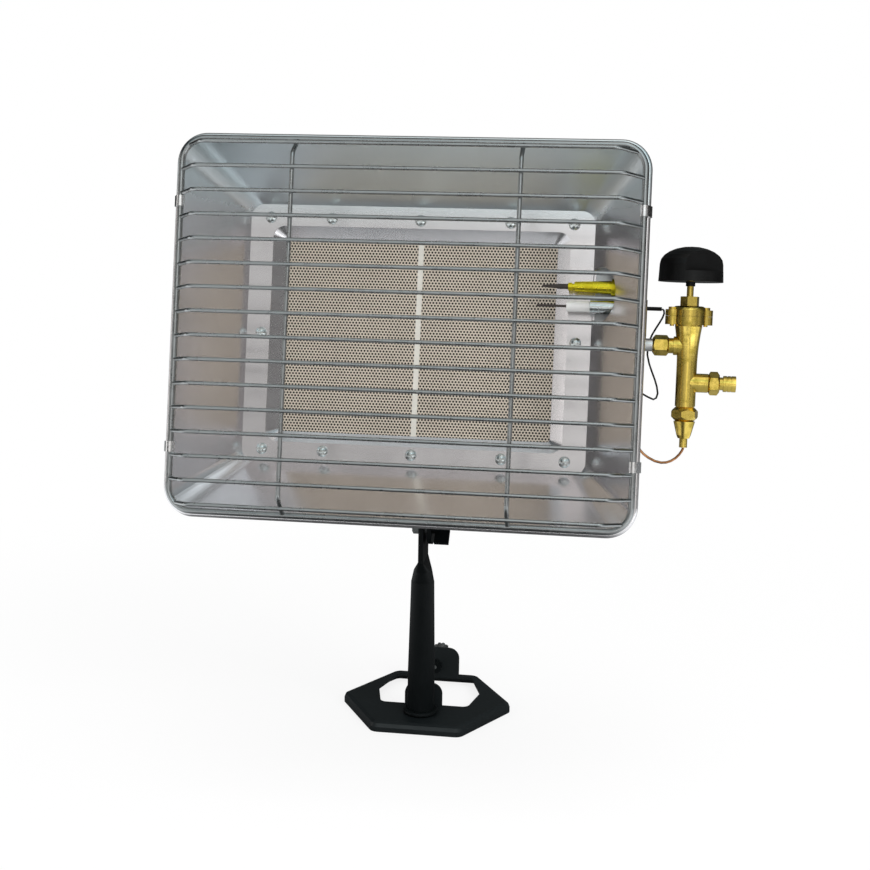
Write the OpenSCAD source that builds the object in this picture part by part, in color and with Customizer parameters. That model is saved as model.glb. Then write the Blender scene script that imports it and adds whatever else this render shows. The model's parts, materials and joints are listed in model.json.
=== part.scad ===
// Portable propane heater: a tilting infrared burner head on a post with a hexagonal clamp foot.
// Millimetres, +Z up, the heater faces -Y. The origin is the post's axis on the floor.
// Head parts are drawn in the head's own frame: origin at the centre of the rim plane,
// X to the right, Y into the dish and Z up. in_head() puts that frame on the tilt bolt.

/* [Reflector] */
// Width over the rolled rim
rim_w = 298; // [270:1:360]
// Height over the rolled rim
rim_h = 243; // [225:1:300]
// Corner radius of the rim
rim_corner = 19; // [12:1:28]
// Diameter of the rolled bead
bead_d = 4; // [3:0.5:5]
// Depth from the rim plane to the reflector floor
dish_depth = 57; // [45:1:70]
// Thickness of the reflector sheet
dish_sheet = 0.8; // [0.6:0.1:1.2]
// Width of the flat border of the floor beyond the well
border_w = 15.5; // [13:0.5:20]
// Height of the flat border of the floor beyond the well
border_h = 14; // [12:0.5:18]

/* [Burner] */
// Width of one ceramic plaque
plaque_w = 92; // [80:1:105]
// Height of one ceramic plaque
plaque_h = 132; // [115:1:150]
// Thickness of a ceramic plaque
plaque_t = 13; // [11:0.5:16]
// Width of the joint strip between the plaques
joint_w = 3.5; // [2:0.5:6]
// Width of plaque edge that the window lip covers
lip_cover = 3.2; // [2:0.2:5]
// Height of plaque edge that the window lip covers
lip_cover_h = 1; // [0.5:0.1:2]
// Depth of the well from the reflector floor to the plaques
well_depth = 7; // [5:0.5:10]
// Width of the sloped side of the well
bevel_w = 8.5; // [6:0.5:11]
// Height of the sloped top and bottom of the well
bevel_h = 7; // [5:0.5:9]
// Thickness of the burner's sheet
burner_sheet = 1.2; // [0.8:0.1:1.5]
// Depth of the burner box behind its flange
box_depth = 35; // [32:1:45]
// Thread diameter of the floor screws
screw_d = 4; // [3:0.5:4.5]

/* [Guard] */
// Distance of the cross wires in front of the rim plane
guard_standoff = 19; // [12:1:28]
// Diameter of the frame wire
frame_wire_d = 4; // [3:0.5:5]
// Diameter of the cross wires
cross_wire_d = 2.5; // [2:0.1:3]
// Diameter of the two upright wires
upright_wire_d = 2.8; // [2:0.1:3.2]
// Number of cross wires
cross_count = 16; // [10:2:16]
// Spacing of the cross wires
cross_pitch = 15; // [12:0.5:15]
// Distance of the upright wires from the middle
upright_x = 70.5; // [40:0.5:90]
// Height of the rim clips above and below the middle
clip_z = 77.6; // [50:0.2:90]

/* [Valve] */
// Distance of the valve's axis from the rim's right edge
valve_out = 26.6; // [24:0.2:34]
// Depth of the valve's axis behind the rim plane
valve_y = 30; // [26:1:34]
// Radius of the valve body below its cone
valve_r = 6.3; // [5:0.1:7]
// Radius of the bonnet flange
bonnet_r = 10.2; // [9:0.1:11]
// Angle of the valve leaning forward of the head's plane
valve_lean = 4.3; // [0:0.1:8]
// Diameter of the control knob
knob_d = 40; // [34:1:46]
// Height of the control knob
knob_h = 21.8; // [18:0.2:26]
// Travel of the control knob when it is pressed
knob_press = 3; // [2:0.5:3.5]
// Diameter of the hose tail
tail_d = 10; // [8:0.2:11]
// Length of the hose tail beyond its hexagon
tail_len = 10; // [9:0.5:20]
// Diameter of the gas pipe
pipe_d = 8; // [6:0.5:8]

/* [Post and foot] */
// Diameter of the post tube
post_d = 19; // [16:0.5:22]
// Wall of the post tube
post_wall = 1.5; // [1:0.1:2.5]
// Thickness of the flattened top of the post
flat_t = 3.4; // [3:0.1:5]
// Height of the tilt bolt above the floor
hinge_z = 145; // [135:1:200]
// Diameter of the tilt bolt
bolt_d = 8; // [6:0.5:8]
// Angle of the head leaning back at rest
rest_tilt = 11; // [0:1:20]
// Distance from the foot's middle to one of its corners
foot_r = 62; // [56:1:90]
// Height of the foot pressing
foot_h = 7; // [6:0.5:14]
// Thickness of the foot's sheet
foot_t = 2; // [1.5:0.1:3]
// Distance of the post's axis in front of the foot's middle
post_forward = 29.5; // [26:0.5:34]
// Width of the rear clamp tab
rear_tab_w = 36; // [26:1:40]
// Height of the rear clamp tab above the floor
rear_tab_top = 29; // [27:1:40]
// Width of the front clamp tab
front_tab_w = 27; // [18:1:30]
// Height of the front clamp tab above the floor
front_tab_top = 24; // [20:1:36]
// Height of the clamp screw above the floor
clamp_z = 14.5; // [14:0.5:20]
// Diameter of the clamp screw
clamp_d = 6; // [5:0.5:6]

/* [Fits] */
// Radial clearance of turning and sliding fits
run_gap = 0.05; // [0.02:0.01:0.09]
// Gap between pieces that are seated on each other
seat_gap = 0.1; // [0.05:0.05:0.2]
// Gap between faces of pieces that move past each other
side_gap = 0.3; // [0.2:0.05:0.5]

/* [Hidden] */

$fn = 48;
sliver = 0.02;

// reflector and burner, driven from the plaques outwards
plaques_w = 2 * plaque_w + joint_w;
window_w = plaques_w - 2 * lip_cover;
window_h = plaque_h - 2 * lip_cover_h;
well_w = window_w + 2 * bevel_w;
well_h = window_h + 2 * bevel_h;
well_corner = 8;
window_corner = 2.5;
floor_w = well_w + 2 * border_w;
floor_h = well_h + 2 * border_h;
floor_corner = 9;
bead_r = bead_d / 2;
mouth_w = rim_w - bead_d - 2 * dish_sheet;
mouth_h = rim_h - bead_d - 2 * dish_sheet;
mouth_corner = rim_corner - bead_r - dish_sheet;
floor_y = dish_depth;
frame_y = floor_y + dish_sheet + seat_gap;
flange_y = frame_y + burner_sheet + seat_gap;
window_y = floor_y + well_depth;
plaque_y = window_y + 2 * seat_gap;
flange_w = floor_w - 9;
flange_h = floor_h - 9;
flange_corner = 6;
box_in_w = well_w + 3;
box_in_h = well_h + 3;
box_w = box_in_w + 2 * burner_sheet;
box_h = box_in_h + 2 * burner_sheet;
box_corner = 9;
box_back = flange_y + box_depth;
screw_r = screw_d / 2;
screw_hole_r = screw_r + 0.1;
head_r = 3.8;
head_h = 2.5;
screw_z = box_h / 2 + screw_r + 0.6;
screw_side_x = box_w / 2 + screw_r + 1;
screw_corner_x = box_w / 2 - 0.8;
screw_mid_x = 0.59 * screw_corner_x;
screw_places = [
    for (sz = [-1, 1], x = [-screw_corner_x, -screw_mid_x, 0, screw_mid_x, screw_corner_x]) [x, sz * screw_z],
    for (sx = [-1, 1]) [sx * screw_side_x, 0],
];

// wall of the dish on the right, from bead to floor
function wall_x(y) =
    mouth_w / 2 + dish_sheet
    - (mouth_w - floor_w) / 2 * (y - bead_r) / (dish_depth + dish_sheet - bead_r);

// guard
frame_wire_r = frame_wire_d / 2;
guard_inset = 2;
guard_w = rim_w - bead_d - 2 * guard_inset;
guard_h = rim_h - bead_d - 2 * guard_inset;
guard_corner = rim_corner - bead_r - guard_inset;
guard_rise = sqrt(pow(bead_r + frame_wire_r + side_gap, 2) - pow(guard_inset, 2));
guard_y = bead_r - guard_rise;
cross_r = cross_wire_d / 2;
upright_r = upright_wire_d / 2;
upright_y = -guard_standoff + cross_r + upright_r + seat_gap;
wire_bend = 5;
wire_turn = atan2(4, 3);
clip_len = 6.6;
clip_sheet = 0.8;

// valve stack, heights in the head's frame
valve_x = rim_w / 2 + valve_out;
out_z = -1;
inlet_z = -23.7;
body_bottom = -38.5;
body_stub = 5.5;
cone_low = -13;
cone_r = 8.4;
flange_low = 12.3;
flange_split = 17.6;
bonnet_top = 23.9;
nut_top = 29.8;
lug_top = 21.6;
bonnet_edge = 2.5;
lug_out = 10.6;
lug_r = 4.3;
lug_turn = 12;
valve_bore = 4;
stem_r = 2.1;
stem_low = 8;
neck_low = nut_top + knob_press + 3.4;
knob_low = neck_low + 2.7;
neck_r = 2.9;
knob_skirt = 6.5;
grip_w = 24.4;
grip_turn = 39;
cap_hex = 15;
cap_cone = -48;
cap_low = -58.6;
cap_tip = 2;
cap_cone_r = 6.7;
cap_tip_r = 4.5;
lead_nut_low = -64.4;
inlet_r = 5.9;
inlet_end = 13.4;
inlet_hex = 12.8;
inlet_hex_t = 7;
pipe_r = pipe_d / 2;
pipe_in = pipe_r - 1;
pipe_bend = 18;
spigot_r = pipe_r + 0.8;
nut_in = 11.4;
nut_out = 21.8;
nut_hex = 11.3;

// mixing tube and injector behind the box
mix_r = 11;
mix_wall = 1;
mix_bend = 17;
mix_x = -12;
mix_y = box_back + mix_bend;
mix_end = 92;
holder_hex = 19;
holder_end = mix_end + 12;
spigot_len = 6;
injector_nut_end = holder_end + 8.5;

// probes through the right wall of the dish
probe_y = 46;
thermo_z = 35.7;
spark_z = 23.1;
probe_hole_r = 17.6;
probe_hole_y = 48.6;
probe_hole_z = 31.3;
cover_t = 1.5;
cover_front = 32;
cover_x = wall_x(cover_front) + side_gap + 0.16;
cover_back = floor_y + dish_sheet + 0.6;
cover_low = 11;
cover_high = 51.6;
thermo_tip = cover_x - 48;
thermo_shank = 3;
thermo_flange_r = 5.5;
thermo_cone = [3.3, 4.4];
spark_tip = cover_x - 51;
ceramic_r = 3.6;
ceramic_in = 32;
ferrule_r = 4.4;
ferrule_in = 17;
sleeve_r = 1.25;
sleeve_end = cover_x + 28.6;
strip_x = rim_w / 2 - 0.4;
strip_t = 1.2;
strip_low = 4.5;
strip_high = 27.8;
strip_front = 38;

// igniter on the right side of the burner box
piezo_x = box_w / 2 + 24.25;
piezo_z = -30;
piezo_r = 8;
piezo_front = 66;
piezo_plate_y = box_back - 3;
piezo_plate_t = 1.5;
piezo_back = piezo_plate_y + piezo_plate_t + seat_gap;
button_r = 6;
button_out = 9;
button_in = 9;

// tilt joint
hinge_back = 104;
hinge_drop = 125;
head_shift = -4;
bolt_r = bolt_d / 2;
ear_t = 3;
ear_r = 13.8;
washer_t = 1.9;
washer_r = 8;
ear_x = flat_t / 2 + seat_gap + washer_t + side_gap;
bracket_t = 3;
bracket_w = 40;
bracket_bolt_r = 3;
bracket_bolt_low = 11.5 - box_in_h / 2;
bracket_bolt_z = [bracket_bolt_low + 24, bracket_bolt_low];
bracket_top = bracket_bolt_z[0] + 14;
bracket_bottom = -hinge_drop + 18;
bracket_bolt_x = 20;
pivot_x = -head_shift;
bolts_x = pivot_x + ear_x + bracket_bolt_x;
nut_x = ear_x + ear_t + side_gap;
wing_hub_r = 6.5;
wing_hub_t = 8;
wing_reach = 15;
wing_turn = 46;
bolt_end = nut_x + wing_hub_t + 3;

// foot
post_r = post_d / 2;
foot_corner = 7;
foot_edge = 3.5;
foot_y = post_forward;
collar_r = post_r + 2.9;
collar_h = 3.4;
hole_front = foot_y - 14;
hole_rear = foot_y + 45;
hole_wide_y = foot_y + 14;
hole_half = 37.5;
hole_corner = 5;
tab_t = 2;
tab_corner = 8;
front_tab_y = collar_r + 0.4;
rear_tab_y = hole_rear;
taper_low = 38;
taper_high = 104;
post_top_r = post_r - 1.4;
shoulder_z = 112;
flat_high = 120;
flat_half_w = (PI * (post_r + post_top_r) - flat_t) / 4;
clamp_r = clamp_d / 2;
clamp_nut_hex = 10;
clamp_nut_t = 5;
pad_r = 5;
pad_t = 2.7;
pin_r = 1.4;
clamp_travel = 14;
knurl_r = 7;
knurl_t = 11;
clamp_head_y = rear_tab_y + tab_t + clamp_nut_t + clamp_travel + 2;

// routes of the two leads, in the head's frame
igniter_route = [
    [159.2, 46, 23.1], [160.3, 46, 22.4], [160.6, 46, 20.4], [159.7, 46, 17.6], [158.2, 46, 14.8],
    [156.1, 46, 11.2], [153.6, 45.8, 6.6], [152, 45.2, 2.4], [151.2, 44, -2], [151.1, 42, -6.5],
    [152.5, 40, -12.4], [154.2, 38, -17], [156.4, 36.5, -22.5], [157.8, 35.6, -26.8],
    [158.5, 35, -31], [157.7, 35, -33.9], [156, 35.2, -34.9], [152.6, 36.4, -33.5],
    [149.2, 39, -31.6], [144, 45, -30.4], [138, 52.5, -30], [132, 58.5, -30], [128, 61.8, -30],
    [126.4, 63.6, -30], [126, 65.6, -30],
];
copper_route = [
    [134.9, 46, 35.7], [136.4, 45.9, 35.5], [137.9, 45.5, 34.4], [139, 44.9, 32.4], [140, 44.2, 29],
    [141.2, 43, 23.5], [142.5, 41.6, 16], [143.5, 40.4, 7], [144, 39.6, -3], [144, 39.4, -13],
    [144, 39.2, -23], [144, 39, -33], [144.2, 38.8, -43], [144.8, 38.4, -52], [146.3, 37.6, -60.5],
    [149, 36.8, -67], [151.4, 36.2, -69.5], [154.2, 35.6, -71.5], [158.6, 35, -73.6],
    [162.6, 34.6, -74.4], [165.7, 34.4, -74.1], [168.6, 34.4, -73], [171.2, 34.5, -71.2],
    [173.4, 34.6, -68.9], [174.9, 34.7, -66.6], [175.5, 34.75, -65.3], [175.6, 34.77, -64.5],
];
lead_r = 0.6;
copper_r = 0.8;

// ---- shared shapes ----

module in_head() {
    translate([0, 0, hinge_z])
        rotate([-rest_tilt, 0, 0])
            translate([head_shift, -hinge_back, hinge_drop])
                children();
}

// frame of the valve: it leans about its outlet pipe
module at_valve() {
    translate([valve_x, valve_y, out_z])
        rotate([valve_lean, 0, 0])
            translate([0, 0, -out_z])
                children();
}

// flat outline in X and Z, standing as a plate from y to y + t
module upright_plate(y, t) {
    translate([0, y + t, 0])
        rotate([90, 0, 0])
            linear_extrude(t)
                children();
}

module rod_x(r, x0, x1, y = 0, z = 0) {
    translate([x0, y, z])
        rotate([0, 90, 0])
            cylinder(r = r, h = x1 - x0);
}

module rod_y(r, y0, y1, x = 0, z = 0) {
    translate([x, y0, z])
        rotate([-90, 0, 0])
            cylinder(r = r, h = y1 - y0);
}

module hex_bar(across, h) {
    cylinder(r = across / sqrt(3), h = h, $fn = 6);
}

// hexagon with its corners turned off towards both ends
module chamfered_hex(across, h, low, high) {
    corner = across / sqrt(3);
    flat = across / 2 - 0.2;
    intersection() {
        hex_bar(across, h);
        rotate_extrude()
            polygon([
                [0, 0], [flat - 0.7 * low, 0], [corner + 0.1, low * 1.2],
                [corner + 0.1, h - high * 1.2], [flat - 0.7 * high, h], [0, h],
            ]);
    }
}

module rounded_rect(w, h, r) {
    square([w - 2 * r, h], center = true);
    square([w, h - 2 * r], center = true);
    for (sx = [-1, 1], sy = [-1, 1])
        translate([sx * (w / 2 - r), sy * (h / 2 - r)])
            circle(r = r);
}

module screw_holes(y, t, r) {
    for (p = screw_places)
        rod_y(r, y - 1, y + t + 1, p[0], p[1]);
}

// solid block that narrows from one rounded rectangle to another
module taper_block(y0, size0, r0, y1, size1, r1) {
    hull() {
        upright_plate(y0, sliver)
            rounded_rect(size0[0], size0[1], r0);
        upright_plate(y1 - sliver, sliver)
            rounded_rect(size1[0], size1[1], r1);
    }
}

// closed rounded rectangle of wire in the plane y
module wire_loop(w, h, corner, r, y) {
    for (s = [-1, 1]) {
        rod_x(r, -w / 2 + corner, w / 2 - corner, y, s * h / 2);
        translate([s * w / 2, y, -h / 2 + corner])
            cylinder(r = r, h = h - 2 * corner);
    }
    for (a = [0, 90, 180, 270])
        rotate([0, -a, 0])
            translate([(a % 180 == 0 ? w : h) / 2 - corner, y, (a % 180 == 0 ? h : w) / 2 - corner])
                rotate([90, 0, 0])
                    rotate_extrude(angle = 90)
                        translate([corner, 0])
                            circle(r = r);
}

function unit(v) = v / norm(v);
function route_dir(p, i) = unit(p[min(i + 1, len(p) - 1)] - p[max(i - 1, 0)]);
function route_side(p, i) =
    i == 0
    ? unit(cross(route_dir(p, 0), [0, 0, 1]))
    : let (s = route_side(p, i - 1), t = route_dir(p, i)) unit(s - (s * t) * t);
function route_ring(p, i, r, sides) =
    let (t = route_dir(p, i), s = route_side(p, i), u = cross(t, s))
    [for (j = [0:sides - 1]) p[i] + r * (cos(360 * j / sides) * s + sin(360 * j / sides) * u)];

// round lead swept along its own route points
module lead(route, r, sides = 8) {
    rings = len(route);
    points = [for (i = [0:rings - 1]) each route_ring(route, i, r, sides)];
    walls = [
        for (i = [0:rings - 2], j = [0:sides - 1])
            let (k = (j + 1) % sides)
            [i * sides + j, (i + 1) * sides + j, (i + 1) * sides + k, i * sides + k],
    ];
    first = [for (j = [0:sides - 1]) j];
    last = [for (j = [0:sides - 1]) rings * sides - 1 - j];
    polyhedron(points = points, faces = concat([first], walls, [last]), convexity = 6);
}

// ---- foot and post ----

module foot_block(grow, top) {
    reach = foot_r - foot_corner * 2 / sqrt(3);
    hull()
        for (a = [0:60:300])
            translate([reach * cos(a), foot_y + reach * sin(a), 0]) {
                translate([0, 0, -1])
                    cylinder(r = foot_corner + grow, h = 1 + top - foot_edge, $fn = 32);
                translate([0, 0, top - sliver])
                    cylinder(r = foot_corner + grow - foot_edge, h = sliver, $fn = 32);
                translate([0, 0, top - 0.3 * foot_edge])
                    cylinder(r = foot_corner + grow - 0.3 * foot_edge, h = sliver, $fn = 32);
            }
}

module foot_hole() {
    inset = hole_corner;
    hull()
        for (s = [-1, 1], p = [
            [hole_half - 5, hole_front + inset], [hole_half, hole_wide_y], [hole_half - 8, hole_rear - inset],
        ])
            translate([s * (p[0] - inset), p[1]])
                circle(r = hole_corner);
}

module clamp_tab(w, top, y) {
    low = foot_h - foot_t;
    upright_plate(y, tab_t) {
        translate([-w / 2, low])
            square([w, top - low - tab_corner]);
        translate([-w / 2 + tab_corner, low])
            square([w - 2 * tab_corner, top - low]);
        for (s = [-1, 1])
            translate([s * (w / 2 - tab_corner), top - tab_corner])
                circle(r = tab_corner);
    }
}

module base_plate() {
    color([0.13, 0.13, 0.14])
        difference() {
            union() {
                difference() {
                    foot_block(0, foot_h);
                    foot_block(-foot_t, foot_h - foot_t);
                    translate([0, 0, -2])
                        linear_extrude(foot_h + 4)
                            foot_hole();
                    translate([-foot_r * 2, -foot_r, -3])
                        cube([foot_r * 4, foot_r * 4, 3]);
                }
                clamp_tab(front_tab_w, front_tab_top, front_tab_y);
                clamp_tab(rear_tab_w, rear_tab_top, rear_tab_y);
            }
            translate([0, 0, -1])
                cylinder(r = post_r + seat_gap, h = foot_h + 2);
            rod_y(clamp_r + 0.2, rear_tab_y - 1, rear_tab_y + tab_t + 1, 0, clamp_z);
        }
}

module post_collar() {
    color([0.11, 0.11, 0.12])
        translate([0, 0, foot_h + seat_gap])
            rotate_extrude()
                difference() {
                    union() {
                        translate([post_r + seat_gap, 0])
                            square([collar_r - post_r - seat_gap - collar_h / 2, collar_h]);
                        translate([collar_r - collar_h / 2, collar_h / 2])
                            circle(r = collar_h / 2);
                    }
                    square([post_r + seat_gap, collar_h]);
                }
}

module post_tube() {
    color([0.12, 0.12, 0.13])
        difference() {
            union() {
                cylinder(r = post_r, h = taper_low);
                translate([0, 0, taper_low])
                    cylinder(r1 = post_r, r2 = post_top_r, h = taper_high - taper_low);
                hull() {
                    translate([0, 0, taper_high - 0.1])
                        cylinder(r = post_top_r - 0.1, h = sliver);
                    translate([0, 0, shoulder_z])
                        scale([0.78, 1.2, 1])
                            cylinder(r = post_top_r, h = sliver);
                }
                hull() {
                    translate([0, 0, shoulder_z])
                        scale([0.78, 1.2, 1])
                            cylinder(r = post_top_r, h = sliver);
                    translate([-flat_t / 2, -flat_half_w, flat_high])
                        cube([flat_t, 2 * flat_half_w, sliver]);
                }
                translate([-flat_t / 2, -flat_half_w, flat_high])
                    cube([flat_t, 2 * flat_half_w, hinge_z - flat_high]);
                rod_x(flat_half_w, -flat_t / 2, flat_t / 2, 0, hinge_z);
            }
            translate([0, 0, -1])
                cylinder(r = post_r - post_wall, h = taper_low + 1);
            translate([0, 0, taper_low])
                cylinder(
                    r1 = post_r - post_wall, r2 = post_top_r - post_wall,
                    h = taper_high - taper_low - 2
                );
            rod_x(bolt_r + 0.1, -flat_t, flat_t, 0, hinge_z);
        }
}

module post_foot_plug() {
    color([0.08, 0.08, 0.08])
        cylinder(r = post_r - post_wall - seat_gap, h = 12);
}

module tilt_bolt() {
    color([0.35, 0.35, 0.36])
        union() {
            rod_x(bolt_r, -flat_t / 2 - seat_gap - 1, bolt_end, 0, hinge_z);
            translate([-flat_t / 2 - seat_gap - 5.3, 0, hinge_z])
                rotate([0, 90, 0])
                    hex_bar(13, 5.3);
        }
}

module tilt_washer() {
    color([0.3, 0.3, 0.31])
        difference() {
            rod_x(washer_r, flat_t / 2 + seat_gap, flat_t / 2 + seat_gap + washer_t, 0, hinge_z);
            rod_x(bolt_r + 0.1, 0, ear_x + 1, 0, hinge_z);
        }
}

module wing_nut() {
    color([0.1, 0.1, 0.1])
        difference() {
            union() {
                rod_x(wing_hub_r, nut_x, nut_x + wing_hub_t, 0, hinge_z);
                translate([nut_x + 1.5, 0, hinge_z])
                    rotate([wing_turn, 0, 0])
                        translate([0, -wing_reach, -1.5])
                            cube([wing_hub_t + 2, 2 * wing_reach, 3]);
            }
            rod_x(bolt_r + run_gap, nut_x - 1, nut_x + wing_hub_t + 5, 0, hinge_z);
        }
}

module clamp_nut() {
    color([0.3, 0.3, 0.31])
        difference() {
            translate([0, rear_tab_y + tab_t + seat_gap, clamp_z])
                rotate([-90, 0, 0])
                    hex_bar(clamp_nut_hex, clamp_nut_t);
            rod_y(clamp_r + run_gap, rear_tab_y, rear_tab_y + clamp_nut_t + 5, 0, clamp_z);
        }
}

module clamp_pad() {
    color([0.1, 0.1, 0.1])
        difference() {
            rod_y(pad_r, rear_tab_y - side_gap - pad_t, rear_tab_y - side_gap, 0, clamp_z);
            rod_y(pin_r + run_gap, rear_tab_y - side_gap - pad_t - 1, rear_tab_y, 0, clamp_z);
        }
}

module clamp_screw() {
    color([0.45, 0.45, 0.46]) {
        rod_y(pin_r, rear_tab_y - side_gap - pad_t, rear_tab_y, 0, clamp_z);
        rod_y(clamp_r, rear_tab_y - side_gap + 0.1, clamp_head_y + 1, 0, clamp_z);
        difference() {
            rod_y(knurl_r, clamp_head_y, clamp_head_y + knurl_t, 0, clamp_z);
            for (a = [0:30:330])
                translate([0, 0, clamp_z])
                    rotate([0, a, 0])
                        rod_y(1, clamp_head_y - 1, clamp_head_y + knurl_t + 1, knurl_r + 0.3, 0);
        }
    }
}

// ---- head: reflector, guard and burner ----

module tilt_bracket() {
    color([0.1, 0.1, 0.1])
        in_head()
            difference() {
                union() {
                    translate([pivot_x + ear_x, box_back + seat_gap, bracket_bottom])
                        cube([bracket_w, bracket_t, bracket_top - bracket_bottom]);
                    translate([pivot_x + ear_x, box_back + seat_gap, -hinge_drop])
                        cube([ear_t, hinge_back + ear_r - box_back - seat_gap, 72]);
                    rod_x(ear_r, pivot_x + ear_x, pivot_x + ear_x + ear_t, hinge_back, -hinge_drop);
                }
                rod_x(bolt_r + run_gap, pivot_x, pivot_x + 20, hinge_back, -hinge_drop);
                for (z = bracket_bolt_z)
                    rod_y(bracket_bolt_r + 0.1, box_back - 1, box_back + 9, bolts_x, z);
            }
}

module bracket_bolts() {
    x = bolts_x;
    head_y = box_back + 2 * seat_gap + bracket_t;
    color([0.6, 0.6, 0.62])
        in_head()
            for (z = bracket_bolt_z) {
                rod_y(bracket_bolt_r, box_back - 7, head_y + 1, x, z);
                translate([x, head_y, z])
                    rotate([-90, 0, 0])
                        hex_bar(10, 4);
                difference() {
                    translate([x, box_back - burner_sheet - seat_gap - 4.5, z])
                        rotate([-90, 0, 0])
                            hex_bar(10, 4.5);
                    rod_y(bracket_bolt_r + run_gap, box_back - 8, box_back, x, z);
                }
            }
}

module reflector() {
    color([0.78, 0.76, 0.76])
        in_head() {
            wire_loop(rim_w - bead_d, rim_h - bead_d, rim_corner - bead_r, bead_r, bead_r);
            difference() {
                taper_block(
                    bead_r, [mouth_w + 2 * dish_sheet, mouth_h + 2 * dish_sheet], mouth_corner + dish_sheet,
                    floor_y + dish_sheet, [floor_w + 2 * dish_sheet, floor_h + 2 * dish_sheet], floor_corner
                );
                taper_block(
                    bead_r - sliver, [mouth_w, mouth_h], mouth_corner,
                    floor_y, [floor_w, floor_h], floor_corner
                );
                upright_plate(floor_y - 2, 5)
                    rounded_rect(well_w, well_h, well_corner);
                screw_holes(floor_y, dish_sheet, screw_hole_r);
                intersection() {
                    rod_x(probe_hole_r, wall_x(floor_y) - 8, cover_x + 8, probe_hole_y, probe_hole_z);
                    cube([rim_w, 2 * (floor_y - 1), rim_h], center = true);
                }
            }
        }
}

module reflector_screws() {
    color([0.7, 0.72, 0.72])
        in_head()
            for (p = screw_places)
                translate([p[0], floor_y - seat_gap, p[1]])
                    rotate([90, 0, 0])
                        difference() {
                            union() {
                                translate([0, 0, -7])
                                    cylinder(r = screw_r, h = 8);
                                rotate_extrude()
                                    intersection() {
                                        translate([0, head_h - 4.6])
                                            circle(r = 4.6);
                                        square([head_r, head_h]);
                                    }
                            }
                            for (a = [0, 90])
                                rotate([0, 0, a + 20])
                                    translate([-2, -0.4, 1.3])
                                        cube([4, 0.8, 3]);
                        }
}

module guard_frame() {
    color([0.62, 0.65, 0.68])
        in_head()
            wire_loop(guard_w, guard_h, guard_corner, frame_wire_r, guard_y);
}

// half width of the frame wire's centre line at height z
function frame_half(z) =
    let (over = abs(z) - (guard_h / 2 - guard_corner))
    guard_w / 2 - (over > 0 ? guard_corner - sqrt(pow(guard_corner, 2) - pow(over, 2)) : 0);

// lean of the frame wire's centre line at height z
function frame_lean(z) =
    let (over = max(0, abs(z) - (guard_h / 2 - guard_corner)))
    over / sqrt(pow(guard_corner, 2) - pow(over, 2));

// wire along X with both ends bent towards +Y: half is its length to the corner, drop the
// depth to the frame wire. A bend of 3 across to 4 back takes half its radius at each side.
module bent_wire(half, drop, r, lean = 0) {
    leg = 1.25 * drop - frame_wire_r - side_gap - 1.4 * r * lean;
    for (m = [0, 1])
        mirror([m, 0, 0])
            translate([half, 0, 0]) {
                translate([-wire_bend / 2, 0, 0])
                    rotate([0, -90, 0])
                        cylinder(r = r, h = half);
                translate([-wire_bend / 2, wire_bend, 0])
                    rotate_extrude(angle = wire_turn, start = -90)
                        translate([wire_bend, 0])
                            circle(r = r);
                rotate([0, 0, wire_turn])
                    rod_x(r, wire_bend / 2, leg);
            }
}

module guard_cross_wires() {
    color([0.6, 0.68, 0.7])
        in_head()
            for (i = [0:cross_count - 1]) {
                z = (i - (cross_count - 1) / 2) * cross_pitch;
                drop = guard_y + guard_standoff;
                translate([0, -guard_standoff, z])
                    bent_wire(frame_half(z) - 0.75 * drop, drop, cross_r, frame_lean(z));
            }
}

module guard_upright_wires() {
    drop = guard_y - upright_y;
    color([0.55, 0.58, 0.6])
        in_head()
            for (s = [-1, 1])
                translate([s * upright_x, upright_y, 0])
                    rotate([0, -90, 0])
                        bent_wire(guard_h / 2 - 0.75 * drop, drop, upright_r);
}

// outline round two circles of one radius
module two_circle_outline(a, b, r) {
    v = b - a;
    translate(a) {
        circle(r = r);
        rotate(atan2(v[1], v[0]))
            translate([0, -r])
                square([norm(v), 2 * r]);
    }
    translate(b)
        circle(r = r);
}

module guard_clips() {
    bead = [rim_w / 2 - bead_r, bead_r];
    wire = [guard_w / 2, guard_y];
    inner = max(bead_r, frame_wire_r) + seat_gap;
    color([0.85, 0.85, 0.85])
        in_head()
            for (m = [0, 1], t = [-1, 1])
                mirror([m, 0, 0])
                    translate([0, 0, t * clip_z - clip_len / 2])
                        linear_extrude(clip_len)
                            difference() {
                                two_circle_outline(wire, bead, inner + clip_sheet);
                                two_circle_outline(wire, bead, inner);
                                translate([bead[0] - 8, bead[1] - 0.6])
                                    square([8, 6]);
                            }
}

module burner_frame() {
    lip = 2.4 * burner_sheet;
    color([0.8, 0.78, 0.77])
        in_head()
            difference() {
                union() {
                    upright_plate(frame_y, burner_sheet)
                        rounded_rect(flange_w, flange_h, flange_corner);
                    taper_block(
                        frame_y, [well_w + lip, well_h + lip], well_corner,
                        window_y, [window_w + lip, window_h + lip], window_corner
                    );
                }
                taper_block(
                    frame_y - sliver, [well_w, well_h], well_corner,
                    window_y + sliver, [window_w, window_h], window_corner
                );
                screw_holes(frame_y, burner_sheet, screw_hole_r);
            }
}

module plaque(side) {
    color([0.75, 0.68, 0.57])
        in_head()
            translate([side * (joint_w / 2 + plaque_w / 2), plaque_y + plaque_t / 2, 0])
                cube([plaque_w - 2 * seat_gap, plaque_t, plaque_h], center = true);
}

module plaque_left() {
    plaque(-1);
}

module plaque_right() {
    plaque(1);
}

module plaque_joint() {
    color([0.88, 0.86, 0.8])
        in_head()
            translate([-joint_w / 2, plaque_y, -plaque_h / 2])
                cube([joint_w, plaque_t, plaque_h]);
}

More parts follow.
